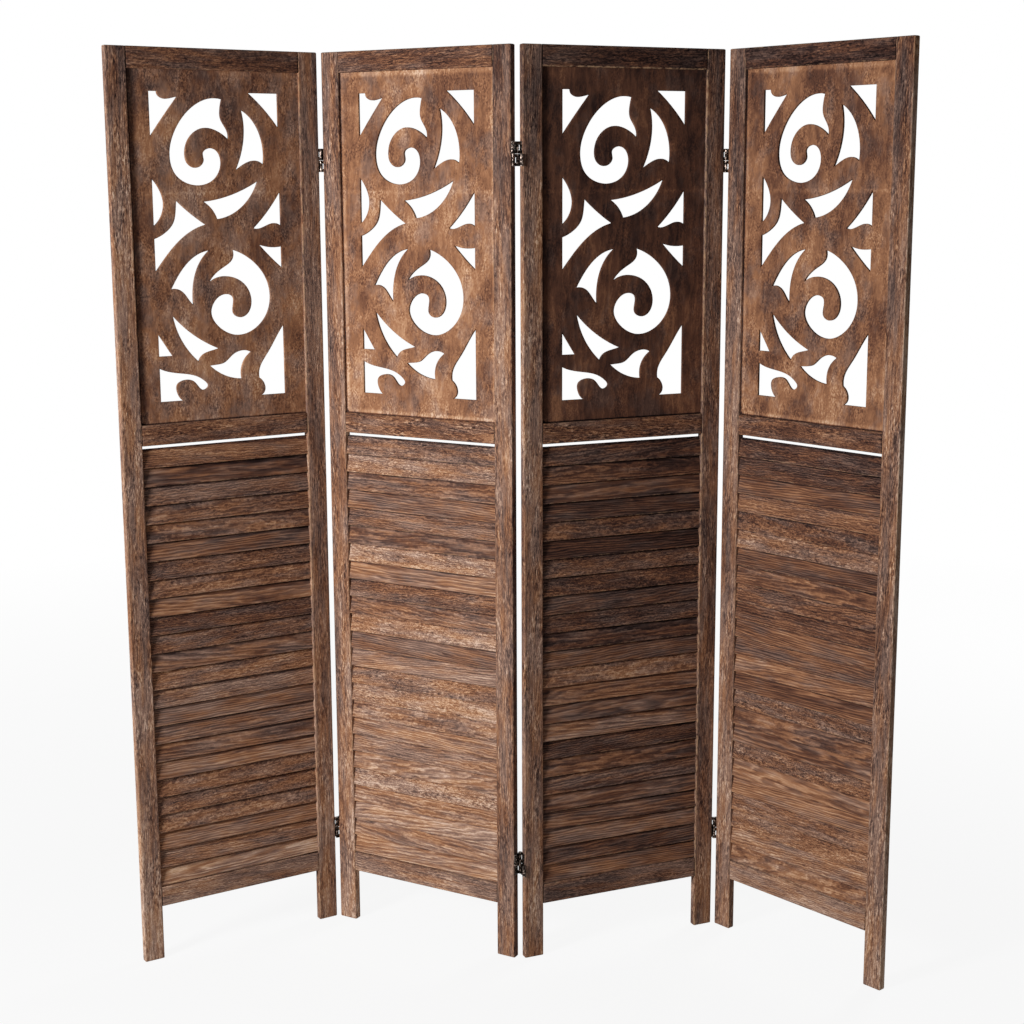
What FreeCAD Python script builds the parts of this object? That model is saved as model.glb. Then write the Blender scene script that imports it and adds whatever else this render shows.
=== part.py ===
import FreeCAD, Part
import math
import os

# Folding room divider: four panels with a scroll-cut upper board and a louvred lower half, on two-way hinges.
# Millimetres, Z up. The front looks towards -Y, the floor is Z = 0 and the panels stand in a zigzag.
# A panel is drawn in its own frame: u from its left edge to its right, v from front face to back, z up.
# A hinge is drawn in the middle of the gap between two panels in line, z from the middle of its height.

# Panel frame
panel_count = 4
panel_width = 406.0
panel_height = 1700.0
frame_thickness = 15.0
stile_width = 38.0
top_rail_height = 38.0
middle_rail_height = 38.0
bottom_rail_height = 38.0
leg_height = 105.0
louvre_height = 850.0
arris = 1.0

# Dowels that join the rails to the stiles
dowel_diameter = 6.0
dowel_length = 40.0
dowel_edge_distance = 8.0
dowel_fit = 0.05
dowel_end_room = 1.0

# Scroll-cut board, held in grooves of the frame
board_thickness = 5.0
board_recess = 5.0
board_housing = 5.5
board_end_room = 0.5
board_fit = 0.15
scroll_side_border = 41.0
scroll_top_border = 38.0
scroll_bottom_border = 40.0

# Louvre slats, each end let into slanted slots of the stiles
slat_count = 24
slat_thickness = 5.0
slat_front_inset = 1.5
slat_gap = 1.1
slat_lap = 0.5
slat_top_slit = 5.5
slat_foot_gap = 3.0
slat_housing = 6.0
slat_end_room = 0.3
slat_fit = 0.15

# Two-way hinges
panel_gap = 7.0
hinge_height = 43.0
axis_offset = 1.5
knuckle_clearance = 0.5
leaf_thickness = 1.5
leaf_inset = 3.0
leaf_finger = 6.0
finger_play = 0.25
half_gap = 0.5
link_thickness = 1.5
link_swing_gap = 0.5
pin_diameter = 2.8
pin_fit = 0.02
pin_play = 0.05
screw_spacing = 24.0
screw_diameter = 3.0
screw_head_diameter = 5.5
screw_length = 16.0
screw_tip = 3.0
screw_fit = 0.05
recess_width = 0.8
recess_span = 3.0
recess_depth = 0.7

# Angle of each panel from the picture plane as it stands
panel_turns = (31.9, -29.9, 23.4, -48.5)

# Junctions from left to right: the side on which each folds, and its hinges, which were set by eye
folds_to_front = (True, False, True)
hinge_from_top = (196.0, 188.0, 200.0)
hinge_from_floor = (189.0, 189.0, 201.0)

# Sizes that follow from the ones above
bottom_rail_top = leg_height + bottom_rail_height
middle_rail_low = bottom_rail_top + louvre_height
window_low = middle_rail_low + middle_rail_height
window_high = panel_height - top_rail_height
inner_left = stile_width
inner_right = panel_width - stile_width
groove_depth = board_housing + board_end_room
board_back = board_recess + board_thickness
slat_pitch = (louvre_height - slat_top_slit - slat_foot_gap - slat_lap) / slat_count
slat_tilt = math.asin((slat_thickness + slat_gap) / slat_pitch)
slat_width = (slat_pitch + slat_lap) / math.cos(slat_tilt)
half_panel_gap = panel_gap / 2
knuckle_radius = half_panel_gap - knuckle_clearance
pin_radius = pin_diameter / 2
hinge_top = hinge_height / 2
half_low = half_gap / 2
front_axis = -axis_offset
back_axis = frame_thickness + axis_offset
hinge_levels = [
    {"lower": low, "upper": panel_height - high} for low, high in zip(hinge_from_floor, hinge_from_top)
]

# Scroll pattern, drawn on a grid of these millimetres and stretched to the board inside its borders.
# A cut-out is a chain of strokes: two points are a straight line, more are a smooth curve through them.
scroll_grid_width = 248.0
scroll_grid_height = 553.0
scroll_cutouts = {
    "top_left_corner": (
        ((0, 553), (15, 553)),
        ((15, 553), (18, 545), (29, 540), (40, 541), (53, 544)),
        ((53, 544), (38, 525), (20, 501.5), (0, 474)),
        ((0, 474), (0, 553)),
    ),
    "upper_scroll": (
        ((138, 541), (105, 539.5), (74, 521), (47, 486), (35, 445), (45, 407.5), (85, 388.5), (120, 400),
         (133, 430), (125, 450), (110, 454), (98.5, 446), (99.5, 433), (94, 423.5), (82, 419.5), (68, 428),
         (64, 447), (72, 471), (100, 490), (127, 485), (148, 470)),
        ((148, 470), (145, 489), (135, 507), (134.5, 524), (138, 541)),
    ),
    "top_right_corner": (
        ((190, 553), (248, 553)),
        ((248, 553), (248, 491)),
        ((248, 491), (221, 524), (190, 553)),
    ),
    "upper_leaf": (
        ((175, 523), (200, 501), (214, 470), (216, 425)),
        ((216, 425), (197, 432.5), (178, 426), (161, 415)),
        ((161, 415), (174, 449), (179.5, 487), (175, 523)),
    ),
    "upper_crescent": (
        ((97, 359), (125, 363.5), (165, 376), (204, 395.5)),
        ((204, 395.5), (188, 366), (160, 340.5), (122, 327.5)),
        ((122, 327.5), (114.5, 342.5), (97, 359)),
    ),
    "left_lens": (
        ((0, 401), (13, 382), (20, 357), (14, 333), (0, 317)),
        ((0, 317), (0, 401)),
    ),
    "left_fin": (
        ((44, 362), (68, 340.5), (99, 318)),
        ((99, 318), (52, 293.5), (20, 260.5), (0, 235)),
        ((0, 235), (0, 294)),
        ((0, 294), (22, 305.5), (37, 322), (42.5, 345), (44, 362)),
    ),
    "right_fin": (
        ((248, 377), (248, 313.5)),
        ((248, 313.5), (232, 318.5), (211, 311), (193, 310)),
        ((193, 310), (221, 339.5), (248, 377)),
    ),
    "right_barb": (
        ((203, 280), (225, 274.5), (248, 275.5)),
        ((248, 275.5), (248, 236)),
        ((248, 236), (226, 256), (203, 280)),
    ),
    "lower_crescent": (
        ((104, 271.5), (72, 259), (45, 231), (28, 203)),
        ((28, 203), (40, 203.5), (49.5, 198.5), (58, 188.5), (70, 173.5)),
        ((70, 173.5), (70, 200), (80, 240), (104, 271.5)),
    ),
    "lower_scroll": (
        ((150, 271.5), (147, 252), (128, 238.5), (112, 226.5), (102, 213)),
        ((102, 213), (140, 223.5), (172, 207.5), (184, 180), (175, 153), (160, 147.5), (148, 155), (148, 171),
         (147, 186), (133, 191), (112, 179.5), (104, 159), (118, 132), (160, 115), (200, 132.5), (220, 165),
         (217, 214), (190, 250), (150, 271.5)),
    ),
    "lower_leaf": (
        ((29, 156), (62, 124), (116, 92)),
        ((116, 92), (100, 88), (88, 84), (76, 70)),
        ((76, 70), (46, 107.5), (29, 156)),
    ),
    "left_barb": (
        ((0, 124), (12, 105), (26, 83)),
        ((26, 83), (0, 83)),
        ((0, 83), (0, 124)),
    ),
    "bottom_left_corner": (
        ((0, 61), (30, 51.5), (58, 47), (88, 32.5), (93, 24.5), (85, 17.5), (66, 33.5), (48, 37.5), (33, 30),
         (33, 14), (43, 0)),
        ((43, 0), (0, 0)),
        ((0, 0), (0, 61)),
    ),
    "bottom_tail": (
        ((98, 61), (111, 62), (125, 64.5), (145, 80), (165, 86), (180, 82)),
        ((180, 82), (163, 62), (160, 33.5)),
        ((160, 33.5), (128, 41), (98, 61)),
    ),
    "bottom_right_corner": (
        ((248, 131), (248, 0)),
        ((248, 0), (199, 0)),
        ((199, 0), (207, 12), (205, 22), (195.5, 33)),
        ((195.5, 33), (197, 52), (214, 79), (235, 112), (248, 131)),
    ),
}


def box(u_low, u_high, v_low, v_high, z_low, z_high):
    """A block between two corners."""
    corner = FreeCAD.Vector(u_low, v_low, z_low)
    return Part.makeBox(u_high - u_low, v_high - v_low, z_high - z_low, corner)


def rod(radius, start, direction, length):
    """A round bar from a point along a direction."""
    return Part.makeCylinder(radius, length, FreeCAD.Vector(*start), FreeCAD.Vector(*direction))


def prism(corners, travel):
    """A flat outline carried along a straight travel."""
    points = [FreeCAD.Vector(*corner) for corner in corners]
    return Part.Face(Part.makePolygon(points + points[:1])).extrude(FreeCAD.Vector(*travel))


def eased_section(low, high, depth):
    """Corners of a rectangle from low to high across and 0 to depth, with its arrises taken off."""
    return (
        (low + arris, 0), (high - arris, 0), (high, arris), (high, depth - arris),
        (high - arris, depth), (low + arris, depth), (low, depth - arris), (low, arris),
    )


def dowel_heights(low, high):
    """Heights of the two dowels in the solid part of a rail."""
    return low + dowel_edge_distance, high - dowel_edge_distance


# The solid height of each rail, clear of the board's groove
rail_solids = {
    "top_rail": (window_high + groove_depth, panel_height),
    "middle_rail": (middle_rail_low, window_low - groove_depth),
    "bottom_rail": (leg_height, bottom_rail_top),
}
rail_spans = {
    "top_rail": (window_high, panel_height),
    "middle_rail": (middle_rail_low, window_low),
    "bottom_rail": (leg_height, bottom_rail_top),
}
all_dowel_heights = [height for span in rail_solids.values() for height in dowel_heights(*span)]


def slat_section(number, room):
    """Corners (v, z) of a slat counted from the bottom, grown by room on every side."""
    rise = FreeCAD.Vector(math.sin(slat_tilt), math.cos(slat_tilt), 0)
    back = FreeCAD.Vector(math.cos(slat_tilt), -math.sin(slat_tilt), 0)
    foot = FreeCAD.Vector(slat_front_inset, bottom_rail_top + slat_foot_gap + number * slat_pitch, 0)
    reaches = ((-room, -room), (slat_width + room, -room), (slat_width + room, slat_thickness + room),
               (-room, slat_thickness + room))
    points = [foot + rise * along + back * across for along, across in reaches]
    return [(point.x, point.y) for point in points]


def slat_bar(number, u_low, u_high, room):
    """A slat, or the space that it needs, between two places across the panel."""
    corners = [(u_low, v, z) for v, z in slat_section(number, room)]
    return prism(corners, (u_high - u_low, 0, 0))


def board_space(room, reach):
    """The board's block, reaching past the window by reach and grown by room front and back."""
    return box(inner_left - reach, inner_right + reach, board_recess - room, board_back + room,
               window_low - reach, window_high + reach)


def stile(side, levels):
    """A full-height upright, left for side -1 and right for 1, with holes for hinge screws at levels."""
    outer, inner = (0, inner_left) if side < 0 else (panel_width, inner_right)
    corners = [(u, v, 0) for u, v in eased_section(min(outer, inner), max(outer, inner), frame_thickness)]
    bar = prism(corners, (0, 0, panel_height))
    slot_ends = sorted((inner + side * (slat_housing + slat_end_room), inner - side * slat_end_room))
    cuts = [board_space(board_fit, groove_depth)]
    cuts += [slat_bar(number, *slot_ends, slat_fit) for number in range(slat_count)]
    hole_depth = dowel_length / 2 + dowel_end_room
    hole_radius = dowel_diameter / 2 + dowel_fit
    for height in all_dowel_heights:
        cuts.append(rod(hole_radius, (inner, frame_thickness / 2, height), (side, 0, 0), hole_depth))
    pilot_radius = screw_diameter / 2 + screw_fit
    for level in levels:
        for end in (-1, 1):
            place = (outer, frame_thickness / 2, level + end * screw_spacing / 2)
            cuts.append(rod(pilot_radius, place, (-side, 0, 0), screw_length))
    return bar.cut(Part.makeCompound(cuts))


def rail(name):
    """A rail between the stiles with its dowel holes and, beside the window, the board's groove."""
    low, high = rail_spans[name]
    corners = [(inner_left, v, z) for z, v in eased_section(low, high, frame_thickness)]
    bar = prism(corners, (inner_right - inner_left, 0, 0))
    hole_depth = dowel_length / 2 + dowel_end_room
    hole_radius = dowel_diameter / 2 + dowel_fit
    cuts = [board_space(board_fit, groove_depth)]
    for height in dowel_heights(*rail_solids[name]):
        cuts.append(rod(hole_radius, (inner_left, frame_thickness / 2, height), (1, 0, 0), hole_depth))
        cuts.append(rod(hole_radius, (inner_right, frame_thickness / 2, height), (-1, 0, 0), hole_depth))
    return bar.cut(Part.makeCompound(cuts))


def rail_dowels():
    """Round pegs across the six rail ends, two to an end."""
    pegs = []
    for height in all_dowel_heights:
        for place in (inner_left, inner_right):
            start = (place - dowel_length / 2, frame_thickness / 2, height)
            pegs.append(rod(dowel_diameter / 2, start, (1, 0, 0), dowel_length))
    return pegs


def cutout(strokes):
    """A cut-out of the scroll pattern as a block that passes through the board."""
    across = (inner_right - inner_left - 2 * scroll_side_border) / scroll_grid_width
    up = (window_high - window_low - scroll_top_border - scroll_bottom_border) / scroll_grid_height
    left = inner_left + scroll_side_border
    low = window_low + scroll_bottom_border
    edges = []
    for stroke in strokes:
        points = [FreeCAD.Vector(left + x * across, board_recess, low + y * up) for x, y in stroke]
        if len(points) == 2:
            edges.append(Part.LineSegment(*points).toShape())
        else:
            curve = Part.BSplineCurve()
            curve.interpolate(points)
            edges.append(curve.toShape())
    return Part.Face(Part.Wire(edges)).extrude(FreeCAD.Vector(0, board_thickness, 0))


def fretwork_board():
    """The thin board in the window with its sixteen scroll cut-outs."""
    board = board_space(0, board_housing)
    return board.cut(Part.makeCompound([cutout(strokes) for strokes in scroll_cutouts.values()]))


def louvre_slats():
    """The tilted slats from the bottom rail up, their ends in the stiles."""
    low = inner_left - slat_housing
    high = inner_right + slat_housing
    return [slat_bar(number, low, high, 0) for number in range(slat_count)]


# Hinge fingers in the upper half: two of the leaf with one of the link between them
upper_leaf_fingers = ((half_low, half_low + leaf_finger), (hinge_top - leaf_finger, hinge_top))
link_finger = (half_low + leaf_finger + finger_play, hinge_top - leaf_finger - finger_play)
leaf_outer = -half_panel_gap
leaf_inner = leaf_outer + leaf_thickness


def barrel(axis, z_low, z_high):
    """A hinge knuckle round an axis."""
    return rod(knuckle_radius, (0, axis, z_low), (0, 0, 1), z_high - z_low)


def turned_over(shape):
    """A left-hand hinge piece turned half round, which makes it the right-hand one."""
    return shape.rotated(FreeCAD.Vector(0, 0, 0), FreeCAD.Vector(0, 1, 0), 180)


def screw_body(height, room):
    """A countersunk screw through the left leaf into the stile, grown by room."""
    mid = frame_thickness / 2
    radius = screw_diameter / 2 + room
    head_radius = screw_head_diameter / 2 + room
    head_depth = head_radius - radius
    head = Part.makeCone(head_radius, radius, head_depth, FreeCAD.Vector(leaf_inner, mid, height),
                         FreeCAD.Vector(-1, 0, 0))
    shank_length = screw_length - screw_tip
    shank = rod(radius, (leaf_inner, mid, height), (-1, 0, 0), shank_length)
    tip = Part.makeCone(radius, 0, screw_tip, FreeCAD.Vector(leaf_inner - shank_length, mid, height),
                        FreeCAD.Vector(-1, 0, 0))
    return head.fuse([shank, tip])


def hinge_screw(height):
    """A screw with a cross recess in its head."""
    mid = frame_thickness / 2
    recess = []
    for long, short in ((recess_span, recess_width), (recess_width, recess_span)):
        recess.append(box(leaf_inner - recess_depth, leaf_inner, mid - long / 2, mid + long / 2,
                          height - short / 2, height + short / 2))
    return screw_body(height, 0).cut(Part.makeCompound(recess)).removeSplitter()


def left_leaf():
    """Plate on the left stile with front knuckles in its upper half and back knuckles in its lower half."""
    pieces = [box(leaf_outer, leaf_inner, leaf_inset, frame_thickness - leaf_inset, -hinge_top, hinge_top)]
    for z_low, z_high in upper_leaf_fingers:
        pieces.append(box(leaf_outer, leaf_inner, front_axis, leaf_inset, z_low, z_high))
        pieces.append(barrel(front_axis, z_low, z_high))
        pieces.append(box(leaf_outer, leaf_inner, frame_thickness - leaf_inset, back_axis, -z_high, -z_low))
        pieces.append(barrel(back_axis, -z_high, -z_low))
    leaf = pieces[0].fuse(pieces[1:])
    bore = pin_radius + pin_fit
    front_bore = rod(bore, (0, front_axis, 0), (0, 0, 1), hinge_top)
    back_bore = rod(bore, (0, back_axis, 0), (0, 0, -1), hinge_top)
    cuts = [front_bore, back_bore]
    cuts += [screw_body(side * screw_spacing / 2, screw_fit) for side in (-1, 1)]
    return leaf.cut(Part.makeCompound(cuts)).removeSplitter()


def upper_link():
    """Web across the thickness in the upper half, from the front pin to the back pin."""
    side = link_thickness / 2
    clear = knuckle_radius + link_swing_gap
    web = box(-side, side, front_axis + clear, back_axis - clear, half_low, hinge_top)
    neck = box(-side, side, front_axis, back_axis, *link_finger)
    link = web.fuse([neck, barrel(front_axis, *link_finger), barrel(back_axis, *link_finger)])
    bore = pin_radius + pin_play
    cuts = [rod(bore, (0, axis, 0), (0, 0, 1), hinge_top) for axis in (front_axis, back_axis)]
    return link.cut(Part.makeCompound(cuts)).removeSplitter()


def left_pins():
    """The pins pressed into the left leaf: front in the upper half, back in the lower half."""
    length = hinge_top - half_low
    return [rod(pin_radius, (0, front_axis, half_low), (0, 0, 1), length),
            rod(pin_radius, (0, back_axis, -half_low), (0, 0, -1), length)]


def standing_panels():
    """Place of each panel in the zigzag: every panel hangs on the hinge line of the one before it."""
    places = [FreeCAD.Placement(FreeCAD.Vector(), FreeCAD.Rotation(FreeCAD.Vector(0, 0, 1), panel_turns[0]))]
    for number in range(1, panel_count):
        depth = front_axis if folds_to_front[number - 1] else back_axis
        axis = places[-1].multVec(FreeCAD.Vector(panel_width + half_panel_gap, depth, 0))
        turn = FreeCAD.Rotation(FreeCAD.Vector(0, 0, 1), panel_turns[number])
        corner = axis - turn.multVec(FreeCAD.Vector(-half_panel_gap, depth, 0))
        places.append(FreeCAD.Placement(corner, turn))
    return places


panel_places = standing_panels()
nodes = {}


def add(node, shapes, panel, shift=FreeCAD.Vector()):
    """Puts solids, drawn in a panel's frame and moved by shift, where that panel stands."""
    place = panel_places[panel].multiply(FreeCAD.Placement(shift, FreeCAD.Rotation()))
    for shape in shapes:
        piece = shape.copy()
        piece.Placement = place.multiply(shape.Placement)
        nodes.setdefault(node, []).append(piece)


# Panels
board = fretwork_board()
slats = louvre_slats()
dowels = rail_dowels()
rails = {name: rail(name) for name in rail_spans}
for panel in range(panel_count):
    name = f"panel_{panel + 1}"
    left_levels = hinge_levels[panel - 1].values() if panel > 0 else ()
    right_levels = hinge_levels[panel].values() if panel < panel_count - 1 else ()
    add(f"{name}_left_stile", [stile(-1, left_levels)], panel)
    add(f"{name}_right_stile", [stile(1, right_levels)], panel)
    for rail_name, bar in rails.items():
        add(f"{name}_{rail_name}", [bar], panel)
    add(f"{name}_fretwork_board", [board], panel)
    add(f"{name}_louvre_slats", slats, panel)
    add(f"{name}_rail_dowels", dowels, panel)

# Hinges: at a fold to the front the upper links ride on the right panel, at the others on the left one
leaf = left_leaf()
link = upper_link()
pins = left_pins()
screws = [hinge_screw(side * screw_spacing / 2) for side in (-1, 1)]
for junction in range(panel_count - 1):
    pair = f"hinge_{junction + 1}{junction + 2}"
    left, right = junction, junction + 1
    upper_side, lower_side = (right, left) if folds_to_front[junction] else (left, right)
    for level, height in hinge_levels[junction].items():
        left_shift = FreeCAD.Vector(panel_width + half_panel_gap, 0, height)
        right_shift = FreeCAD.Vector(-half_panel_gap, 0, height)
        shifts = {left: left_shift, right: right_shift}
        sides = {left: "left", right: "right"}
        add(f"{pair}_{level}_left_leaf", [leaf], left, left_shift)
        add(f"{pair}_{level}_right_leaf", [turned_over(leaf)], right, right_shift)
        add(f"{pair}_{sides[upper_side]}_links", [link], upper_side, shifts[upper_side])
        add(f"{pair}_{sides[lower_side]}_links", [turned_over(link)], lower_side, shifts[lower_side])
        add(f"panel_{left + 1}_hinge_pins", pins, left, left_shift)
        add(f"panel_{right + 1}_hinge_pins", [turned_over(pin) for pin in pins], right, right_shift)
        add(f"panel_{left + 1}_hinge_screws", screws, left, left_shift)
        add(f"panel_{right + 1}_hinge_screws", [turned_over(screw) for screw in screws], right, right_shift)

# The origin is on the floor under the middle of the zigzag
everything = Part.makeCompound([piece for pieces in nodes.values() for piece in pieces])
footprint = everything.optimalBoundingBox(False)
origin = FreeCAD.Vector(footprint.Center.x, footprint.Center.y, 0)
os.makedirs("parts", exist_ok=True)
for node, pieces in nodes.items():
    for piece in pieces:
        piece.translate(-origin)
    shape = pieces[0] if len(pieces) == 1 else Part.makeCompound(pieces)
    shape.exportStep(f"parts/{node}.step")
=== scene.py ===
import math
import bpy
import numpy as np
from mathutils import Euler, Matrix, Vector
from mathutils.geometry import delaunay_2d_cdt


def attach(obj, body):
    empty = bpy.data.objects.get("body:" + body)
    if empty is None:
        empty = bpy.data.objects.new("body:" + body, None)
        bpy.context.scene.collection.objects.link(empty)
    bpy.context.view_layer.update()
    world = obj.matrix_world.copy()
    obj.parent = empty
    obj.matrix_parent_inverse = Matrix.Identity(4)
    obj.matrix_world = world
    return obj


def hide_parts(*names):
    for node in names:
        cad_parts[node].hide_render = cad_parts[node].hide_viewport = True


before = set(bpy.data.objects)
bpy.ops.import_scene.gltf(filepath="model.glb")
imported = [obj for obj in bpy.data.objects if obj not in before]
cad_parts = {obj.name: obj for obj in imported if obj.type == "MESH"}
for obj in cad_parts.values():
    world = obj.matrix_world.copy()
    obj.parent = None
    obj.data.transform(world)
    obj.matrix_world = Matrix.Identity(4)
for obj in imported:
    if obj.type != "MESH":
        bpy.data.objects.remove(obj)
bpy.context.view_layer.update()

# Looks of a folding screen in scorched and brushed paulownia. Metres, Z up, the front looks towards -Y.
# A panel's pieces are drawn in its own frame: u to its right, v from its front face to its back, z up.

# Panels
panel_turns = (31.9, -29.9, 23.4, -48.5)
panel_width = 0.406
panel_height = 1.7
frame_thickness = 0.015
stile_width = 0.038
rail_height = 0.038
leg_height = 0.105
middle_rail_low = 0.993
top_rail_low = panel_height - rail_height
inner_left = stile_width
inner_right = panel_width - stile_width
window_low = middle_rail_low + rail_height
joint_gap = 0.0002

# Worn arrises: their radius, and how far along the faces the wear reaches
frame_arris = 0.0018
frame_wear = 0.004
joint_arris = 0.0006
slat_arris = 0.0008
slat_wear = 0.0022
board_arris = 0.0005

# A bar's arris has this many points, and an arc's middle lies this share of its radius from both faces
arris_points = 4
arc_middle = 0.3

# Corners sharper than these degrees stay sharp
bar_smooth_angle = 40
board_smooth_angle = 35

# Fretwork board
board_recess = 0.005
board_thickness = 0.005
board_mesh = 0.006
board_mesh_clear = board_mesh / 3

# The board's outlines: how near points are flat or the same, and the least that a sharp mitre divides by
flat_within = 1e-5
same_decimals = 6
fill_within = 1e-7
mitre_least = 0.5

# Louvre slats
slat_count = 24
slat_thickness = 0.005
slat_front_inset = 0.0015
slat_foot_gap = 0.003
slat_lap = 0.0005
slat_lean = 0.0061
slat_bank_height = 0.841
slat_low = leg_height + rail_height + slat_foot_gap
slat_pitch = slat_bank_height / slat_count
slat_tilt = math.asin(slat_lean / slat_pitch)
slat_width = (slat_pitch + slat_lap) / math.cos(slat_tilt)
slat_housing = 0.002
slat_bow = 0.0001
slat_stations = 13

# Where a piece lay in its log: how far from the heart and how far along, and the drift of its grain
heart_near = 0.02
heart_far = 0.12
log_length = 40
grain_drift = 0.05

# How light each panel's timber is, from charred at 0 to worn at 1
stile_tones = {"left_stile": (0.69, 0.65, 0.65, 0.64), "right_stile": (0.64, 0.60, 0.57, 0.61)}
rail_tones = {"top_rail": (0.46, 0.47, 0.35, 0.31), "middle_rail": (0.54, 0.59, 0.49, 0.47),
              "bottom_rail": (0.69, 0.72, 0.56, 0.75)}
board_tones = (0.64, 0.65, 0.39, 0.57)
slat_tones = (0.595, 0.715, 0.530, 0.543)
slat_tone_spread = 0.075

# How much darker each panel's slats get from the foot up, partly their own tone and partly painted light
# from the floor below, and how much lighter from left to right, as painted light and shade
slat_tone_and_light_drops = (0.22, 0.15, 0.16, 0.26)
slat_light_leans = (-0.03, 0.02, -0.07, -0.03)

# Painted light and shade along the stiles' height: lighter at the foot and below the top, darkest at the
# top, where the light falls off
stile_heights = (0.0, 0.3, 0.55, 0.9, 1.15, 1.3, 1.5, 1.7)
stile_light_shifts = (0.08, 0.05, -0.02, 0.0, 0.05, 0.03, -0.06, -0.14)
stile_stations = 15
rail_stations = 2

# Painted light and shade on each right stile's right edge against its front: darker where the next panel
# hides it, lighter where the room light reaches it
right_edge_painted_light = (0.0, -0.24, 0.0, 0.25)

# How strongly the pieces are figured with short wavy pores
stile_figure = 1.3
rail_figures = {"top_rail": 1.0, "middle_rail": 2.0, "bottom_rail": 0.8}
board_figures = (0.9, 0.8, 0.45, 0.8)
slat_figures = (1.3, 1.9, 1.4, 1.7)
slat_figure_least = 0.15
figure_spread = 0.25

# How much grey ash the brush left in each kind of piece, from none at 0 to all over at 1
stile_ash = 0.62
rail_ash = {"top_rail": 0.25, "middle_rail": 0.2, "bottom_rail": 0.8}
board_ashes = (0.3, 0.12, 0.0, 0.05)
slat_ashes = (0.45, 0.55, 0.45, 0.2)
slat_ash_spread = 0.12

# How much the ash varies from patch to patch
ash_contrast = 1.15

# How much wider the char and painted shade under the slat above get towards the right end: from none to
# twice this
slat_painted_shade_growth = (1.1, 0.2, 0.5, 0.2)

# How much a slat's lower lip is rubbed, with a painted highlight, and how much its upper edge is rubbed
slat_lip_wear_and_highlight = 1.4
slat_top_wear = 0.6

# The pale strip along each board's border: its strength, how far it is full, where it ends, and how much
# narrower it is on the right
board_strips = (0.03, 0.2, 0.0, 0.17)
strip_full = 0.005
strip_end = 0.012
right_strip_loss = 0.004

# How much darker each board's top is than its foot
board_falls = (0.12, 0.05, 0.04, 0.08)

# Painted shadow of the left stile on the boards and slats beside it
board_painted_shadow = (0.26, 0.05, 0.14, 0.05)
slat_painted_shadow = (0.1, 0.0, 0.12, 0.0)
painted_shadow_reach = 0.022

# The faint rubbed seam across each board: its height, where its specks are full and end, and how pale
seam_height = 1.446
seam_full = 0.001
seam_end = 0.006
seam_strength = 0.14

# How much the edges beside the board are rubbed, and on some panels lit with a painted highlight: the right
# stile's left one and the top rail's lower one
stile_rubs_and_highlights = (1.6, 1.0, 2.0, 1.0)
rail_rubs_and_highlights = (1.0, 1.0, 2.2, 1.0)

# Dowels: the length and height of their streaks, their relief, and how dull dark and pale streaks are
streak_length = 0.0125
streak_height = 0.0011
dowel_relief = 0.0002
dowel_relief_strength = 0.5
dowel_dark_roughness = 0.65
dowel_pale_roughness = 0.5
dowel_browns = ((0.3, "#a87c58"), (0.7, "#d3ac85"))

# Metal: the size of its patches, the noise where it is dark and where rubbed, and how much duller it gets
mottle_size = 0.004
metal_dark = 0.48
metal_rubbed = 0.75
metal_dulling = 0.15

# Camera, fitted to the corners of the panels in a square picture of 1024 pixels
picture_size = 1024
sensor_width = 36
focal_pixels = 1756.6
camera_place = (0.01439, -3.18928, 1.46845)
camera_pitch = 10.737
camera_roll = 0.247

# Studio light: a lamp at the front left, a softer one behind at the right, and the level of the room
lamp_place = (-2.3, -2.05, 1.6)
lamp_aim = (0.1, 0.0, 0.85)
lamp_size = 0.6
lamp_watts = 90
back_lamp_place = (2.3, 2.6, 1.6)
back_lamp_size = 1.0
back_lamp_watts = 60
room_level = 0.09

# The floor shows its shadow most within one distance, and is plain white from another
floor_shadow_reach = 1.0
floor_white_reach = 4.0
floor_white_share = 0.9
floor_side = 30
floor_back = 60
floor_grey = "#d0d0d0"
studio_white = "#ffffff"

# Random draws, the same at every run
random = np.random.default_rng(7)


def linear(colour):
    """Turns an sRGB hex colour to the linear values that a shader takes."""
    parts = np.array([int(colour[start:start + 2], 16) for start in (1, 3, 5)]) / 255
    curved = np.where(parts <= 0.04045, parts / 12.92, ((parts + 0.055) / 1.055) ** 2.4)
    return (*curved.tolist(), 1.0)


def add_node(tree, kind, inputs={}, stops=(), **settings):
    """Adds a node with its settings, inputs, links and colour stops, and returns its outputs."""
    made = tree.nodes.new("ShaderNode" + kind)
    for name, value in settings.items():
        setattr(made, name, value)
    for name, value in inputs.items():
        if isinstance(value, bpy.types.NodeSocket):
            tree.links.new(value, made.inputs[name])
        else:
            made.inputs[name].default_value = value
    for number, (place, colour) in enumerate(stops):
        ramp = made.color_ramp.elements
        stop = ramp[number] if number < len(ramp) else ramp.new(place)
        stop.position = place
        stop.color = linear(colour)
    return made.outputs


def combine(tree, operation, *values, **settings):
    """Adds a Math node over numbers and other nodes' results, and returns its result."""
    return add_node(tree, "Math", dict(enumerate(values)), operation=operation, **settings)[0]


def smooth_step(tree, value, start, end, most):
    """Goes smoothly from 0, where the value is at the start, to the most, where it is at the end."""
    reach = {"Value": value, "From Min": start, "From Max": end, "To Max": most}
    return add_node(tree, "MapRange", reach, interpolation_type="SMOOTHSTEP")[0]


def mix_colours(tree, share, first, second):
    """Goes from the first colour to the second by a share, through a Mix node's sockets for colours."""
    return add_node(tree, "Mix", {0: share, 6: first, 7: second}, data_type="RGBA")[2]


def seen_share(tree):
    """1 for what the camera sees, directly or in metal or glass, and 0 for what lights the object."""
    rays = add_node(tree, "LightPath")
    seen = combine(tree, "MAXIMUM", rays["Is Camera Ray"], rays["Is Glossy Ray"])
    return combine(tree, "MAXIMUM", seen, rays["Is Transmission Ray"])


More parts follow.
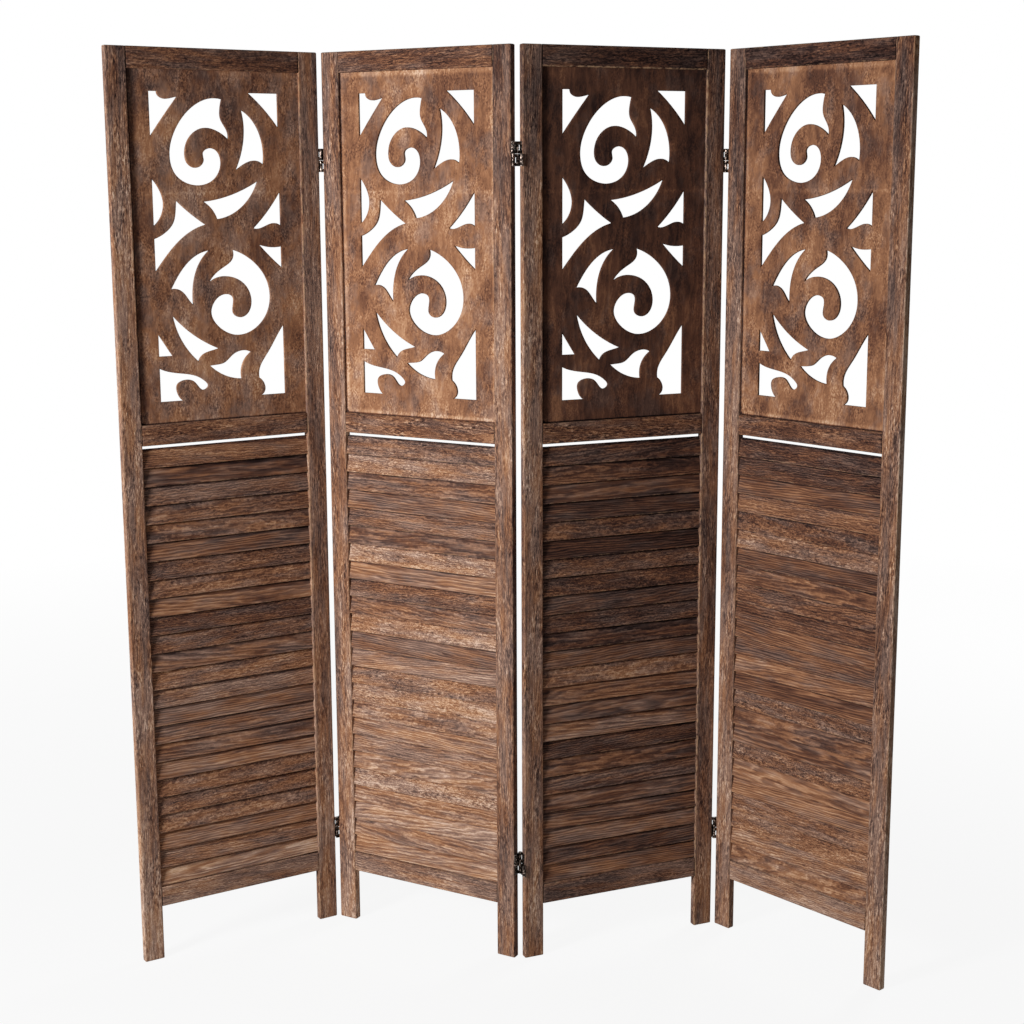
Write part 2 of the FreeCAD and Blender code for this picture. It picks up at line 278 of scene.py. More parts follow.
def new_material(name):
    """An empty node material and its node tree."""
    made = bpy.data.materials.new(name)
    made.use_nodes = True
    made.node_tree.nodes.clear()
    return made, made.node_tree


def put_surface(tree, surface):
    """Gives a material its surface."""
    shader = add_node(tree, "BsdfPrincipled", surface)["BSDF"]
    add_node(tree, "OutputMaterial", {"Surface": shader})


# Colours from charred to worn, in warm wood and where grey ash lies
warm_browns = ((0.0, "#1f1716"), (0.2, "#3f2d29"), (0.45, "#6f4b3b"), (0.7, "#a57556"), (0.88, "#c79a78"),
               (1.0, "#e2bfa1"))
ashy_browns = ((0.0, "#1c1615"), (0.2, "#3a2e2c"), (0.45, "#624f49"), (0.7, "#977869"), (0.88, "#be9b86"),
               (1.0, "#ddc0ac"))
rubbed_brown = "#b69273"

# Noise: its detail and roughness, the low and high values that are spread to 0 and 1, and the middle then
noise_detail = 3.0
noise_roughness = 0.65
noise_low = 0.36
noise_high = 0.64
noise_middle = 0.5

# Growth rings: how many ring widths they wander, and their brightness from one ring to the next
ring_wander = 1.3
ring_stops = ((0.0, "#000000"), (0.12, "#303030"), (0.5, "#c8c8c8"), (0.7, "#ffffff"), (1.0, "#000000"))

# Char and painted shade are full within this share of their reach. Wear shows from one product of wear and
# chips to another
char_and_shade_full = 0.25
rub_start = 0.45
rub_full = 1.8

# The rings' share of the relief, its strength, and how dull charred and worn wood are
ring_relief = 0.6
relief_strength = 0.7
charred_roughness = 0.7
worn_roughness = 0.5


def grain_patterns(tree, grain, sizes):
    """Patterns from 0 to 1 of noise that is stretched along the grain, one for each pair of sizes."""
    patterns = {}
    for pattern, (along, across) in sizes.items():
        scale = (1 / along, 1 / across, 1 / across)
        stretched = add_node(tree, "VectorMath", {0: grain, 1: scale}, operation="MULTIPLY")["Vector"]
        details = {"Vector": stretched, "Scale": 1.0, "Detail": noise_detail, "Roughness": noise_roughness}
        noise = add_node(tree, "TexNoise", details)["Fac"]
        spread = {"Value": noise, "From Min": noise_low, "From Max": noise_high}
        patterns[pattern] = add_node(tree, "MapRange", spread)[0]
    return patterns


def growth_rings(tree, grain, patterns, figure, ring_width):
    """Bands by the distance from the heart of the log.

    They wander slowly by about a ring width and, in figured wood, ripple by as much.
    """
    cross = add_node(tree, "VectorMath", {0: grain, 1: (0, 1, 1)}, operation="MULTIPLY")["Vector"]
    radius = add_node(tree, "VectorMath", {0: cross}, operation="LENGTH")["Value"]
    radius = combine(tree, "MULTIPLY_ADD", patterns["wave"], ring_wander * ring_width, radius)
    ripple = combine(tree, "MULTIPLY", patterns["ripple"], figure)
    radius = combine(tree, "MULTIPLY_ADD", ripple, ring_width, radius)
    phase = combine(tree, "FRACT", combine(tree, "DIVIDE", radius, ring_width))
    return add_node(tree, "ValToRGB", {0: phase}, stops=ring_stops)["Color"]


def scorched_paulownia(name, sizes, shares, ring_width, char_and_shade_reach, char_and_shade_depth, relief):
    """Paulownia that was torched and brushed.

    The torch chars the soft early wood of each growth ring and the brush takes the char out, so the rings
    show as dark bands, the fibres as streaks and the open pores as short dashes. The flame leaves clouds of
    darker brown and the brush leaves grey ash here and there. Char stays in corners beyond the brush's
    reach, where the same darkening also paints the shade that falls there, and handling rubs the arrises
    pale. Nothing seals the wood, so it has no shine.
    """
    material, tree = new_material(name)
    grain = add_node(tree, "Attribute", attribute_name="grain")["Vector"]
    painted = {attribute: add_node(tree, "Attribute", attribute_name=attribute)["Fac"]
               for attribute in ("tone", "ash", "wear", "corner", "figure", "border", "strip", "seam")}
    patterns = grain_patterns(tree, grain, sizes)
    patterns["ring"] = growth_rings(tree, grain, patterns, painted["figure"], ring_width)

    # Flecks of cut pores show where the piece's figure and its patches allow
    open_pores = combine(tree, "MULTIPLY", patterns["patch"], painted["figure"])
    fleck = combine(tree, "SUBTRACT", patterns["fleck"], noise_middle)
    patterns["fleck"] = combine(tree, "MULTIPLY_ADD", fleck, open_pores, noise_middle)

    # The piece's tone, made lighter and darker by all the patterns
    shade = combine(tree, "SUBTRACT", painted["tone"], sum(shares.values()) * noise_middle)
    for pattern, share in shares.items():
        shade = combine(tree, "MULTIPLY_ADD", patterns[pattern], share, shade)

    # Pale specks along a seam
    off_seam = combine(tree, "ABSOLUTE", painted["seam"])
    specks = smooth_step(tree, off_seam, seam_end, seam_full, seam_strength)
    shade = combine(tree, "MULTIPLY_ADD", specks, patterns["chip"], shade)

    # A paler strip along a border, and char left in the corners, which also paints the shade that falls
    # there
    paler = smooth_step(tree, painted["border"], strip_end, strip_full, painted["strip"])
    shade = combine(tree, "ADD", shade, paler)
    # Char in the corners, which on boards and slats also paints the shade that falls in the recess beside
    # the frame and under each slat above
    char_and_shade = smooth_step(tree, painted["corner"], char_and_shade_reach, char_and_shade_reach * char_and_shade_full, char_and_shade_depth)
    shade = combine(tree, "SUBTRACT", shade, char_and_shade)

    # Warm wood, greyed by ash in patches
    warm = add_node(tree, "ValToRGB", {0: shade}, stops=warm_browns)["Color"]
    grey = add_node(tree, "ValToRGB", {0: shade}, stops=ashy_browns)["Color"]
    ashy = combine(tree, "MULTIPLY_ADD", patterns["ash"], ash_contrast, painted["ash"])
    ashy = combine(tree, "SUBTRACT", ashy, ash_contrast * noise_middle, use_clamp=True)
    colour = mix_colours(tree, ashy, warm, grey)

    # Pale wear on the arrises, broken up by chips, which on raised arrises also stands as a painted
    # highlight
    rubbed = combine(tree, "MULTIPLY", painted["wear"], patterns["chip"])
    rubbed = add_node(tree, "MapRange", {"Value": rubbed, "From Min": rub_start, "From Max": rub_full})[0]
    colour = mix_colours(tree, rubbed, colour, linear(rubbed_brown))

    # Relief of the brushed fibres
    height = combine(tree, "ADD", patterns["fibre"], patterns["fleck"])
    height = combine(tree, "MULTIPLY_ADD", patterns["ring"], ring_relief, height)
    brushed = {"Height": height, "Distance": relief, "Strength": relief_strength}
    bump = add_node(tree, "Bump", brushed)["Normal"]
    dull = {"Value": shade, "To Min": charred_roughness, "To Max": worn_roughness}
    roughness = add_node(tree, "MapRange", dull)[0]
    put_surface(tree, {"Base Color": colour, "Roughness": roughness, "Normal": bump,
                       "Specular IOR Level": 0.0})
    return material


# Sizes of the patterns along and across the grain, in metres. Real pores are finer, too fine to show
stile_wood = scorched_paulownia(
    "scorched_brushed_paulownia_stile",
    sizes={"wave": (0.30, 0.04), "ripple": (0.014, 0.006), "fibre": (0.045, 0.0022),
           "fleck": (0.011, 0.0024), "patch": (0.06, 0.02), "cloud": (0.22, 0.03),
           "ash": (0.12, 0.02), "chip": (0.012, 0.006)},
    shares={"ring": 0.18, "fibre": 0.24, "fleck": 0.46, "cloud": 0.28},
    ring_width=0.004, char_and_shade_reach=0.001, char_and_shade_depth=0.65, relief=0.0003)
rail_wood = scorched_paulownia(
    "scorched_brushed_paulownia_rail",
    sizes={"wave": (0.25, 0.04), "ripple": (0.012, 0.007), "fibre": (0.04, 0.0022),
           "fleck": (0.010, 0.0024), "patch": (0.06, 0.02), "cloud": (0.12, 0.03),
           "ash": (0.12, 0.02), "chip": (0.012, 0.006)},
    shares={"ring": 0.26, "fibre": 0.20, "fleck": 0.40, "cloud": 0.22},
    ring_width=0.004, char_and_shade_reach=0.0006, char_and_shade_depth=0.65, relief=0.0003)
board_wood = scorched_paulownia(
    "scorched_paulownia_board",
    sizes={"wave": (0.22, 0.06), "ripple": (0.03, 0.012), "fibre": (0.012, 0.0026),
           "fleck": (0.0045, 0.0028), "patch": (0.05, 0.03), "cloud": (0.11, 0.07),
           "ash": (0.06, 0.04), "chip": (0.004, 0.004)},
    shares={"ring": 0.12, "fibre": 0.05, "fleck": 0.50, "cloud": 0.28},
    ring_width=0.018, char_and_shade_reach=0.0035, char_and_shade_depth=0.5, relief=0.00015)
slat_wood = scorched_paulownia(
    "scorched_brushed_paulownia_slat",
    sizes={"wave": (0.22, 0.03), "ripple": (0.013, 0.009), "fibre": (0.05, 0.0020),
           "fleck": (0.009, 0.0024), "patch": (0.06, 0.012), "cloud": (0.12, 0.018),
           "ash": (0.10, 0.02), "chip": (0.012, 0.006)},
    shares={"ring": 0.30, "fibre": 0.20, "fleck": 0.36, "cloud": 0.20},
    ring_width=0.0042, char_and_shade_reach=0.005, char_and_shade_depth=0.3, relief=0.0003)


def beech_dowel(name):
    """Turned beech: pale pinkish wood with fine darker streaks along the level dowels."""
    material, tree = new_material(name)
    place = add_node(tree, "TexCoord")["Object"]
    scale = (1 / streak_length, 1 / streak_length, 1 / streak_height)
    stretched = add_node(tree, "VectorMath", {0: place, 1: scale}, operation="MULTIPLY")["Vector"]
    streak = add_node(tree, "TexNoise", {"Vector": stretched, "Scale": 1.0, "Detail": noise_detail})["Fac"]
    colour = add_node(tree, "ValToRGB", {0: streak}, stops=dowel_browns)["Color"]
    dull = {"Value": streak, "To Min": dowel_dark_roughness, "To Max": dowel_pale_roughness}
    roughness = add_node(tree, "MapRange", dull)[0]
    turned = {"Height": streak, "Distance": dowel_relief, "Strength": dowel_relief_strength}
    bump = add_node(tree, "Bump", turned)["Normal"]
    put_surface(tree, {"Base Color": colour, "Roughness": roughness, "Normal": bump})
    return material


def plated_metal(name, colour, rubbed, roughness):
    """Dulled or plated steel: mottled patches of a darker colour and brighter metal where it has rubbed."""
    material, tree = new_material(name)
    place = add_node(tree, "TexCoord")["Object"]
    speckle = {"Vector": place, "Scale": 1 / mottle_size, "Detail": noise_detail}
    mottle = add_node(tree, "TexNoise", speckle)["Fac"]
    patches = ((metal_dark, colour), (metal_rubbed, rubbed))
    base = add_node(tree, "ValToRGB", {0: mottle}, stops=patches)["Color"]
    dull = {"Value": mottle, "To Min": roughness, "To Max": roughness + metal_dulling}
    uneven = add_node(tree, "MapRange", dull)[0]
    put_surface(tree, {"Base Color": base, "Metallic": 1.0, "Roughness": uneven})
    return material


# The hinges are steel with a thin bronze plating, gone nearly black and rubbed to a pinkish silver in spots
hinge_bronze = plated_metal("rubbed_bronze_plated_steel", colour="#181311", rubbed="#c8b2a5", roughness=0.3)
pin_steel = plated_metal("drawn_steel_pin", colour="#8c8680", rubbed="#b5aea6", roughness=0.3)
screw_steel = plated_metal("dulled_steel_screw", colour="#4f463d", rubbed="#8b8178", roughness=0.35)
dowel_wood = beech_dowel("turned_beech_dowel")


def node_points(node):
    """All vertices of a CAD node, one row each."""
    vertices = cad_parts[node].data.vertices
    points = np.empty(len(vertices) * 3)
    vertices.foreach_get("co", points)
    return points.reshape(-1, 3)


def panel_axes(number):
    """A panel's left front foot and its directions u and v, from its turn and its left stile."""
    turn = math.radians(panel_turns[number - 1])
    across = np.array([math.cos(turn), math.sin(turn), 0])
    back = np.array([-math.sin(turn), math.cos(turn), 0])
    stile = node_points(f"panel_{number}_left_stile")
    foot = across * (stile @ across).min() + back * (stile @ back).min()
    return foot, np.array([across, back, [0, 0, 1]])


def make_piece(name, number, points, faces, attributes, node, material, smooth_angle):
    """Puts a mesh drawn in a panel's frame where that panel stands, in place of its CAD node."""
    foot, axes = panel_axes(number)
    mesh = bpy.data.meshes.new(name)
    mesh.from_pydata(foot + points @ axes, [], faces)
    # A piece without a strip, a seam and a border is far from them
    plain = {"strip": np.zeros(len(points)), "seam": np.ones(len(points)), "border": np.ones(len(points))}
    for attribute, values in (plain | attributes).items():
        kind, field = ("FLOAT_VECTOR", "vector") if values.ndim == 2 else ("FLOAT", "value")
        mesh.attributes.new(attribute, kind, "POINT").data.foreach_set(field, values.ravel())
    mesh.shade_smooth()
    mesh.set_sharp_from_angle(angle=math.radians(smooth_angle))
    mesh.materials.append(material)
    piece = bpy.data.objects.new(name, mesh)
    bpy.context.scene.collection.objects.link(piece)
    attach(piece, f"panel_{number}")
    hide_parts(node)


def log_place():
    """Where a board lay in its log: its shift from the heart, and how far it drifts along the board."""
    side = random.uniform(0, 2 * math.pi)
    distance = random.uniform(heart_near, heart_far)
    shift = np.array([random.uniform(0, log_length), distance * math.cos(side), distance * math.sin(side)])
    drift = random.uniform(-grain_drift, grain_drift, 2)
    return shift, drift


def in_log(along, across, depth):
    """Grain coordinates of a board's points: moved and tilted to where the board lay in its log."""
    shift, drift = log_place()
    return np.stack([along, across + drift[0] * along, depth + drift[1] * along], -1) + shift


def eased_section(width, depth, radius, reach):
    """A rectangle's outline round zero and its wear: a worn arc between two shoulders at each corner."""
    quarter = np.linspace(0, math.pi / 2, arris_points)
    arc = radius * (np.stack([np.cos(quarter), np.sin(quarter)], 1) - 1)
    corner = np.concatenate([[[0, -reach]], arc, [[-reach, 0]]]) + (width / 2, depth / 2)
    corner_wear = np.array([0] + [1] * arris_points + [0])
    turns = (((1, 1), 1), ((-1, 1), -1), ((-1, -1), 1), ((1, -1), -1))
    outline = np.concatenate([(corner * signs)[::step] for signs, step in turns])
    return outline, np.tile(corner_wear, len(turns))


def eased_run(length, radius, reach, middle, worn):
    """Stations along a bar with eased ends: their places, how far the outline draws in, and the wear."""
    eased = np.array([0, arc_middle, 1]) * radius
    inner = length / 2 - (length / 2 - reach) * np.cos(np.linspace(0, math.pi, middle))
    places = np.concatenate([eased, inner, length - eased[::-1]])
    drawn_in = np.concatenate([eased[::-1], np.zeros(middle), eased])
    wear = np.where((places < reach) | (places > length - reach), worn, 0)
    return places, drawn_in, wear


def loft(outline, places, drawn_in):
    """A closed outline carried along stations: points by station and outline place."""
    points = outline[None] - np.sign(outline)[None] * drawn_in[:, None, None]
    along = np.broadcast_to(places[:, None, None], (*points.shape[:2], 1))
    return np.concatenate([along, points], -1)


def loft_faces(stations, around):
    """Quads between neighbouring stations and a cap at each end, turned outwards."""
    grid = np.arange(stations * around).reshape(stations, around)
    beside = np.roll(grid, -1, 1)
    quads = np.stack([grid[:-1], beside[:-1], beside[1:], grid[1:]], -1).reshape(-1, 4)
    return quads.tolist() + [grid[0, ::-1].tolist(), grid[-1].tolist()]


def frame_bar(name, number, low, high, upright, tone, ash, figure, rubbed, edge_light, material):
    """A stile or rail: a rounded rectangle carried along its grain, with pale worn arrises.

    A stile's left front arris and a rail's lower front one are rubbed by their own amounts, partly wear and
    partly a painted highlight, and a stile's right edge has its own painted light or shade.
    """
    low, high = np.array(low), np.array(high)
    sizes = high - low
    length = sizes[2] if upright else sizes[0]
    section = (sizes[0], frame_thickness) if upright else (frame_thickness, sizes[2])
    outline, edge_wear = eased_section(*section, frame_arris, frame_wear)
    if upright:
        places, drawn_in, end_wear = eased_run(length, frame_arris, frame_wear, stile_stations, worn=1)
    else:
        places, drawn_in, end_wear = eased_run(length, joint_arris, frame_wear, rail_stations, worn=0)
    points = loft(outline, places, drawn_in)
    along, first, second = np.moveaxis(points, -1, 0)
    # A raised rub on an arris is partly wear and partly a painted highlight
    wear = np.maximum(edge_wear[None], end_wear[:, None]) * np.where((first < 0) & (second < 0), rubbed, 1)
    tones = np.full(wear.shape, tone)
    corner = np.minimum(along, length - along)
    if upright:
        # Painted light and shade along the stile's height
        tones += np.interp(along, stile_heights, stile_light_shifts)
        # Painted light or shade on the stile's right edge
        tones += np.where(first > (sizes[0] - frame_arris) / 2, edge_light, 0)
        corner = np.ones(wear.shape)
        drawn = np.stack([first + (low[0] + high[0]) / 2, second + frame_thickness / 2, along + low[2]], -1)
        grain = in_log(along, first, second)
    else:
        drawn = np.stack([along + low[0], first + frame_thickness / 2, second + (low[2] + high[2]) / 2], -1)
        grain = in_log(along, second, first)
    figure *= random.uniform(1 - figure_spread, 1 + figure_spread)
    attributes = {"grain": grain.reshape(-1, 3), "wear": wear.ravel(), "tone": tones.ravel(),
                  "ash": np.full(wear.size, ash), "corner": corner.ravel(),
                  "figure": np.full(wear.size, figure)}
    make_piece(f"{name}_bar", number, drawn.reshape(-1, 3), loft_faces(*wear.shape), attributes,
               node=name, material=material, smooth_angle=bar_smooth_angle)


def slat_bank(number, tone):
    """All slats of a panel: tilted rounded rectangles carried across it, each a little bowed."""
    outline, edge_wear = eased_section(slat_thickness, slat_width, slat_arris, slat_wear)
    length = inner_right - inner_left + 2 * slat_housing
    places, drawn_in, _ = eased_run(length, slat_arris, slat_wear, slat_stations, worn=0)
    along, across, rise = np.moveaxis(loft(outline, places, drawn_in), -1, 0)
    across = across + slat_thickness / 2
    rise = rise + slat_width / 2

    # The slats, from the lowest up
    drawn, grain = [], []
    for slat in range(slat_count):
        bow = random.uniform(-slat_bow, slat_bow) * np.sin(math.pi * along / length)
        v = slat_front_inset + rise * math.sin(slat_tilt) + across * math.cos(slat_tilt)
        z = slat_low + slat * slat_pitch + rise * math.cos(slat_tilt) - across * math.sin(slat_tilt) + bow
        drawn.append(np.stack([along + inner_left - slat_housing, v, z], -1).reshape(-1, 3))
        grain.append(in_log(along, rise, across).reshape(-1, 3))
    slat_faces = loft_faces(*along.shape)
    faces = [[corner + slat * along.size for corner in face]
             for slat in range(slat_count) for face in slat_faces]

    # How each slat looks. Its figure is squared, so that most slats are plain
    tones = tone + random.normal(0, slat_tone_spread, slat_count)
    # Darker up the bank: partly the slats' own tone, partly painted light from the floor below
    tones += np.linspace(0.5, -0.5, slat_count) * slat_tone_and_light_drops[number - 1]
    # Painted light and shade, lighter or darker from left to right
    painted_light_across = (along / length - 0.5) * slat_light_leans[number - 1]
    # Painted shadow of the left stile on the slats' left ends
    painted_light_across -= np.clip(1 - (along - slat_housing) / painted_shadow_reach, 0, 1) * slat_painted_shadow[number - 1]
    figures = random.uniform(slat_figure_least, 1, slat_count) ** 2 * slat_figures[number - 1]
    ashes = slat_ashes[number - 1] + random.normal(0, slat_ash_spread, slat_count)
    growths = random.uniform(0, 2 * slat_painted_shade_growth[number - 1], slat_count)
    # Distance from each slat's upper edge, where char and painted shade lie under the slat above, widening
    # to the right
    corners = (slat_width - rise).ravel() / (1 + growths[:, None] * (along / length).ravel())
    # The lower lip is paler by wear and by a painted highlight
    wear = edge_wear * np.where(rise < slat_width / 2, slat_lip_wear_and_highlight, slat_top_wear)
    attributes = {"grain": np.concatenate(grain), "wear": np.tile(wear.ravel(), slat_count),
                  "tone": (tones[:, None] + painted_light_across.ravel()).ravel(), "figure": np.repeat(figures, along.size),
                  "ash": np.repeat(ashes, along.size), "corner": corners.ravel()}
    name = f"panel_{number}_louvre_slats"
    make_piece(f"{name}_bank", number, np.concatenate(drawn), faces, attributes,
               node=name, material=slat_wood, smooth_angle=bar_smooth_angle)


def face_outline(number, node, depth):
    """Corners (u, z) of a node's flat face at a depth, and its border edges, each of only one triangle."""
    foot, axes = panel_axes(number)
    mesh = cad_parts[node].data
    mesh.calc_loop_triangles()
    triangles = np.empty(len(mesh.loop_triangles) * 3, int)
    mesh.loop_triangles.foreach_get("vertices", triangles)
    drawn = (node_points(node) - foot) @ axes.T
    triangles = triangles.reshape(-1, 3)
    flat = (np.abs(drawn[triangles, 1] - depth) < flat_within).all(1)
    corners, same = np.unique(np.round(drawn[:, [0, 2]], same_decimals), axis=0, return_inverse=True)
    triangles = same.reshape(-1)[triangles[flat]]
    edges = np.concatenate([triangles[:, [0, 1]], triangles[:, [1, 2]], triangles[:, [2, 0]]])
    count = len(corners)
    lone = ~np.isin(edges[:, 0] * count + edges[:, 1], edges[:, 1] * count + edges[:, 0])
    used, renamed = np.unique(edges[lone], return_inverse=True)
    return corners[used], renamed.reshape(-1, 2)


def distance_to(points, starts, ends):
    """Distance from each point to the nearest of the straight edges."""
    run = ends - starts
    reach = np.einsum("pek,ek->pe", points[:, None] - starts, run) / (run * run).sum(1)
    nearest = starts + np.clip(reach, 0, 1)[..., None] * run
    return np.linalg.norm(points[:, None] - nearest, axis=-1).min(1)


def inside(points, starts, ends):
    """Whether each point is on the board, where a line to its left crosses an odd number of edges."""
    level = points[:, None, 1]
    spans = (starts[:, 1] > level) != (ends[:, 1] > level)
    rise = np.where(ends[:, 1] == starts[:, 1], 1, ends[:, 1] - starts[:, 1])
    crossing = starts[:, 0] + (level - starts[:, 1]) / rise * (ends[:, 0] - starts[:, 0])
    return (spans & (crossing < points[:, None, 0])).sum(1) % 2 == 1


def inward_steps(corners, edges):
    """The step at each corner that sets both its edges one metre into the board."""
    run = corners[edges[:, 1]] - corners[edges[:, 0]]
    run /= np.linalg.norm(run, axis=1)[:, None]
    outward = np.stack([run[:, 1], -run[:, 0]], 1)
    after, before = np.zeros((2, len(corners), 2))
    after[edges[:, 0]] = outward
    before[edges[:, 1]] = outward
    return -(after + before) / np.maximum(1 + (after * before).sum(1), mitre_least)[:, None]


def filled_face(corners, edges, rim):
    """A grid of points clear of the outlines, and the triangles over the face's rim and that grid."""
    starts, ends = corners[edges[:, 0]], corners[edges[:, 1]]
    low, high = corners.min(0), corners.max(0)
    columns = np.arange(low[0], high[0], board_mesh)
    levels = np.arange(low[1], high[1], board_mesh)
    grid = np.stack(np.meshgrid(columns, levels), -1).reshape(-1, 2)
    grid = grid[distance_to(grid, starts, ends) > board_mesh_clear]
    flat = np.concatenate([rim, grid])
    filled = delaunay_2d_cdt(flat.tolist(), edges.tolist(), [], 2, fill_within)
    source = np.array([origins[0] if origins else -1 for origins in filled[3]])
    triangles = source[np.array(filled[2])]
    triangles = triangles[inside(flat[triangles].mean(1), starts, ends)]
    sides = flat[triangles]
    area = np.cross(sides[:, 1] - sides[:, 0], sides[:, 2] - sides[:, 0])
    return grid, np.where(area[:, None] > 0, triangles, triangles[:, ::-1])


def fretwork_board(number, tone):
    """The scroll-cut board: two faces filled inside its CAD node's outlines, joined by eased cut edges."""
    name = f"panel_{number}_fretwork_board"
    corners, edges = face_outline(number, name, board_recess)
    count = len(corners)

    # Rows of the cut edge from the front face to the back face
    eased = np.array([0, arc_middle, 1]) * board_arris
    inset = np.concatenate([eased[::-1], eased])
    depth = np.concatenate([eased, board_thickness - eased[::-1]])
    rows = corners[None] + inset[:, None, None] * inward_steps(corners, edges)[None]
    row_count = len(inset)
    ring = np.arange(row_count * count).reshape(row_count, count)
    first, second = ring[:, edges[:, 0]], ring[:, edges[:, 1]]
    walls = np.stack([first[:-1], first[1:], second[1:], second[:-1]], -1).reshape(-1, 4)

    # The front face and the back face, which have the same triangles over points of their own
    grid, triangles = filled_face(corners, edges, rows[0])
    grid_start = row_count * count
    front = np.where(triangles < count, triangles, triangles - count + grid_start)
    back_grid = triangles - count + grid_start + len(grid)
    back = np.where(triangles < count, triangles + (row_count - 1) * count, back_grid)[:, ::-1]

    # Where all the points lie, and how the wood looks there
    spread = np.concatenate([rows.reshape(-1, 2), grid, grid])
    deep = np.concatenate([np.repeat(depth, count), np.zeros(len(grid)),
                           np.full(len(grid), board_thickness)])
    points = np.stack([spread[:, 0], board_recess + deep, spread[:, 1]], 1)
    grain = in_log(spread[:, 1], spread[:, 0], deep)
    # Distance from the board's left and lower borders, where char and painted shade of the recess lie
    corner = np.minimum(spread[:, 0] - inner_left, spread[:, 1] - window_low)
    far_side = np.minimum(inner_right - spread[:, 0] + right_strip_loss, top_rail_low - spread[:, 1])
    border = np.minimum(corner, far_side)
    risen = (spread[:, 1] - window_low) / (top_rail_low - window_low)
    # Painted shadow of the left stile along the board's left border
    painted_shadow = np.clip(1 - (spread[:, 0] - inner_left) / painted_shadow_reach, 0, 1) * board_painted_shadow[number - 1]
    tones = tone + (0.5 - risen) * board_falls[number - 1] - painted_shadow
    attributes = {"grain": grain, "wear": np.zeros(len(points)), "tone": tones,
                  "ash": np.full(len(points), board_ashes[number - 1]),
                  "figure": np.full(len(points), board_figures[number - 1]),
                  "corner": corner, "border": border, "seam": spread[:, 1] - seam_height,
                  "strip": np.full(len(points), board_strips[number - 1])}
    faces = walls.tolist() + front.tolist() + back.tolist()
    make_piece(f"{name}_cut", number, points, faces, attributes,
               node=name, material=board_wood, smooth_angle=board_smooth_angle)


# Panels
for number in range(1, len(panel_turns) + 1):
    panel = f"panel_{number}"

    # Each stile's left and right, how much its left front arris is rubbed and lit, and its right edge's
    # painted light
    uprights = {"left_stile": (0, inner_left, 1.0, 0.0),
                "right_stile": (inner_right, panel_width, stile_rubs_and_highlights[number - 1],
                                right_edge_painted_light[number - 1])}
    for name, (left, right, rubbed, edge_light) in uprights.items():
        frame_bar(f"{panel}_{name}", number, (left, 0, 0), (right, 0, panel_height), upright=True,
                  tone=stile_tones[name][number - 1], ash=stile_ash, figure=stile_figure, rubbed=rubbed,
                  edge_light=edge_light, material=stile_wood)

    # Each rail's foot, and how much its lower front arris is rubbed and lit with a painted highlight
    rails = {"top_rail": (top_rail_low, rail_rubs_and_highlights[number - 1]), "middle_rail": (middle_rail_low, 1.0),
             "bottom_rail": (leg_height, 1.0)}
    for name, (low, rubbed) in rails.items():
        frame_bar(f"{panel}_{name}", number, (inner_left + joint_gap, 0, low),
                  (inner_right - joint_gap, 0, low + rail_height), upright=False,
                  tone=rail_tones[name][number - 1], ash=rail_ash[name], figure=rail_figures[name],
                  rubbed=rubbed, edge_light=0.0, material=rail_wood)

    fretwork_board(number, board_tones[number - 1])
    slat_bank(number, slat_tones[number - 1])

# CAD pieces that keep their shape and get their finish here
finishes = {"leaf": hinge_bronze, "links": hinge_bronze, "pins": pin_steel, "screws": screw_steel,
            "dowels": dowel_wood}
for name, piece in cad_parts.items():
    ending = name.split("_")[-1]
    if ending in finishes:
        piece.data.materials.clear()
        piece.data.materials.append(finishes[ending])

# Camera
camera = bpy.data.objects.new("camera", bpy.data.cameras.new("camera"))
camera.data.sensor_width = sensor_width
camera.data.lens = sensor_width * focal_pixels / picture_size
camera.location = camera_place
aim = Euler((math.radians(90 - camera_pitch), 0, 0)).to_matrix()
camera.rotation_euler = (aim @ Matrix.Rotation(math.radians(-camera_roll), 3, "Z")).to_euler()
bpy.context.scene.collection.objects.link(camera)
bpy.context.scene.camera = camera

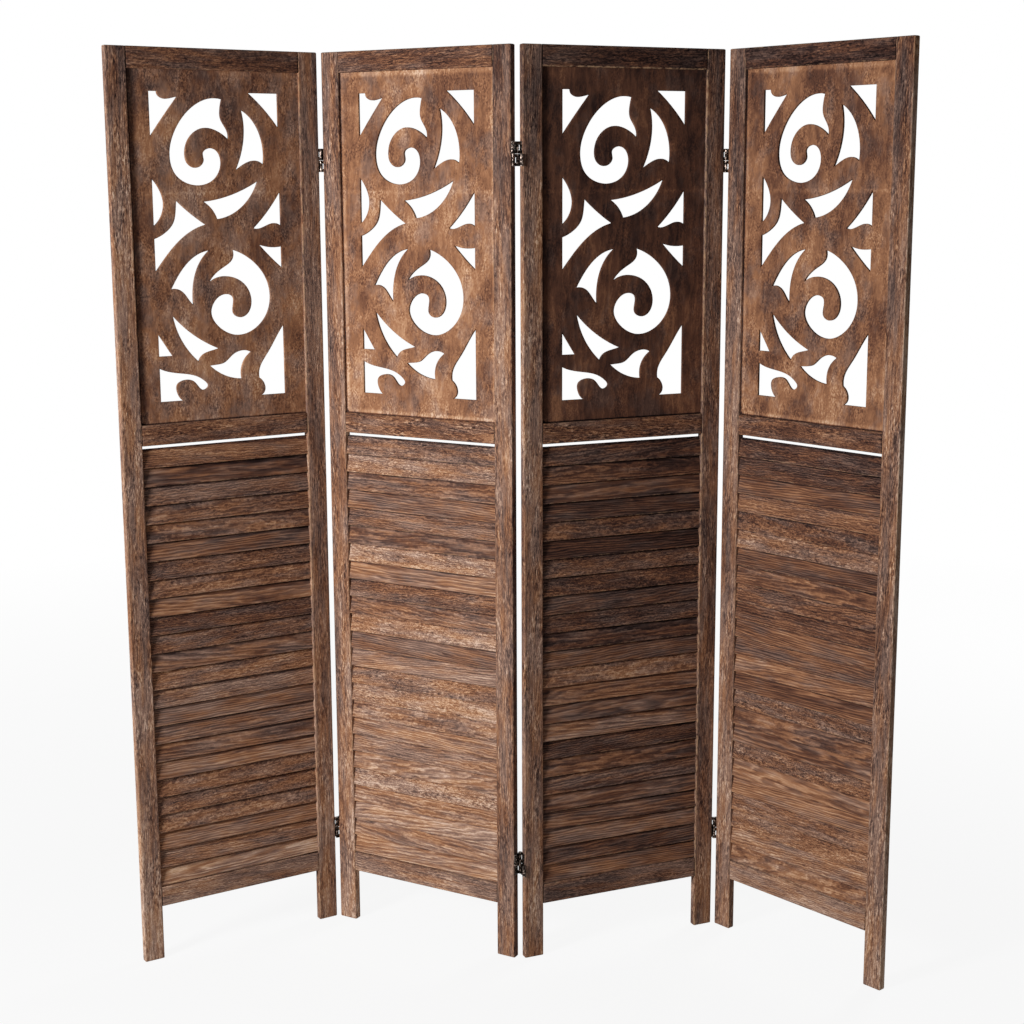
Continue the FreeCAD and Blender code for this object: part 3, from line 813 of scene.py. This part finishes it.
# White floor that keeps a faint shadow
floor_mesh = bpy.data.meshes.new("floor")
floor_corners = [(-floor_side, -floor_side, 0), (floor_side, -floor_side, 0), (floor_side, floor_back, 0),
                 (-floor_side, floor_back, 0)]
floor_mesh.from_pydata(floor_corners, [], [(0, 1, 2, 3)])
floor = bpy.data.objects.new("floor", floor_mesh)
bpy.context.scene.collection.objects.link(floor)
floor_paint, tree = new_material("white_floor_paint")
seen = seen_share(tree)
place = add_node(tree, "TexCoord")["Object"]
away = add_node(tree, "VectorMath", {0: place}, operation="LENGTH")["Value"]
fade = {"Value": away, "From Min": floor_shadow_reach, "From Max": floor_white_reach,
        "To Min": floor_white_share}
bright = add_node(tree, "MapRange", fade)[0]
share = combine(tree, "MULTIPLY", seen, bright)
paint = add_node(tree, "BsdfDiffuse", {"Color": linear(floor_grey)})[0]
white = add_node(tree, "Emission", {"Color": linear(studio_white), "Strength": 1.0})[0]
mixed = add_node(tree, "MixShader", {0: share, 1: paint, 2: white})[0]
add_node(tree, "OutputMaterial", {"Surface": mixed})
floor_mesh.materials.append(floor_paint)

# Studio light: an even pale room, a lamp at the front left and a softer one behind at the right
world = bpy.data.worlds.new("studio")
world.use_nodes = True
tree = world.node_tree
tree.nodes.clear()
level = add_node(tree, "MapRange", {"Value": seen_share(tree), "To Min": room_level, "To Max": 1.0})[0]
sky = add_node(tree, "Background", {"Color": linear(studio_white), "Strength": level})[0]
add_node(tree, "OutputWorld", {"Surface": sky})
bpy.context.scene.world = world

for name, place, size, watts in (("key_lamp", lamp_place, lamp_size, lamp_watts),
                                 ("back_lamp", back_lamp_place, back_lamp_size, back_lamp_watts)):
    lamp = bpy.data.objects.new(name, bpy.data.lights.new(name, "AREA"))
    lamp.data.size = size
    lamp.data.energy = watts
    lamp.location = place
    lamp.rotation_euler = (Vector(lamp_aim) - lamp.location).to_track_quat("-Z", "Y").to_euler()
    lamp.visible_camera = False
    bpy.context.scene.collection.objects.link(lamp)

bpy.context.scene.view_settings.view_transform = "Standard"
